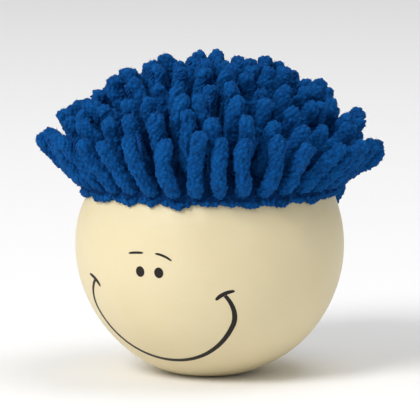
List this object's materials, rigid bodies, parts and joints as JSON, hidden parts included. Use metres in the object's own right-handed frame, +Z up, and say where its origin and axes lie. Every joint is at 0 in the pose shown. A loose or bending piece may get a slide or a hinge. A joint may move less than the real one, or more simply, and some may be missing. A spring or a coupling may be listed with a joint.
{
  "type": "stress ball",
  "caption": "Round foam squeeze ball on a small flat base, with a printed smiling face and a shaggy mop of chenille strands on top.",
  "frame": {"origin": "centre of the small flat base, on the surface that the ball stands on", "axes": "+Z up; the printed face looks along -Y; +X is to the right of someone who looks at the face"},
  "size_m": [0.0827, 0.0782, 0.0759],
  "materials": {
    "foam": "open-cell polyurethane foam, hidden",
    "painted_skin": "smooth satin cream paint",
    "face_ink": "printed ink, slightly glossy",
    "mark_ink": "printed ink, slightly glossy",
    "glue": "set contact adhesive, hidden",
    "backing_cloth": "knitted microfibre",
    "thread": "spun polyester thread",
    "core_yarn": "twisted polyester yarn",
    "chenille": "soft microfibre chenille pile"
  },
  "bodies": {
    "ball": {"foam_core": "foam", "painted_skin": "painted_skin", "eye_left": "face_ink", "eye_right": "face_ink", "brow_left": "face_ink", "brow_right": "face_ink", "smile": "face_ink", "dimple_left": "face_ink", "dimple_right": "face_ink", "back_rosette": "mark_ink"},
    "mop": {"backing_cloth": "backing_cloth", "core_yarn_crown": "core_yarn", "core_yarns_row1": "core_yarn", "core_yarns_row2": "core_yarn", "core_yarns_row3": "core_yarn", "core_yarns_row4": "core_yarn", "core_yarns_row5": "core_yarn", "core_yarns_row6": "core_yarn", "core_yarns_row7": "core_yarn", "glue_layer": "glue", "loose_strand_thread": "thread", "stitch_crown": "thread", "stitch_row1": "thread", "stitch_row2": "thread", "stitch_row3": "thread", "stitch_row4": "thread", "stitch_row5": "thread", "stitch_row6": "thread", "stitch_row7": "thread", "strand_crown": "chenille", "strands_row1_back": "chenille", "strands_row1_front": "chenille", "strands_row1_left": "chenille", "strands_row1_right": "chenille", "strands_row2_back": "chenille", "strands_row2_front": "chenille", "strands_row2_left": "chenille", "strands_row2_right": "chenille", "strands_row3_back": "chenille", "strands_row3_front": "chenille", "strands_row3_left": "chenille", "strands_row3_right": "chenille", "strands_row4_back": "chenille", "strands_row4_front": "chenille", "strands_row4_left": "chenille", "strands_row4_right": "chenille", "strands_row5_back": "chenille", "strands_row5_front": "chenille", "strands_row6_back": "chenille", "strands_row6_front": "chenille", "strands_row7": "chenille"},
    "loose_strand": {"loose_strand": "chenille", "loose_strand_core": "core_yarn"}
  },
  "joints": [
    {"name": "squeeze", "type": "slide", "parent": "ball", "child": "mop", "axis": [0, 0, -1], "range_m": [0, 0.015], "stiffness_N_per_m": 2500, "deforming": ["foam_core", "painted_skin", "eye_left", "eye_right", "brow_left", "brow_right", "smile", "dimple_left", "dimple_right", "back_rosette"]},
    {"name": "loose_strand_lift", "type": "hinge", "parent": "mop", "child": "loose_strand", "pos_m": [0.02389, 0.02005, 0.04727], "axis": [0.6843, -0.2565, -0.6826], "range_deg": [0, 60]}
  ]
}
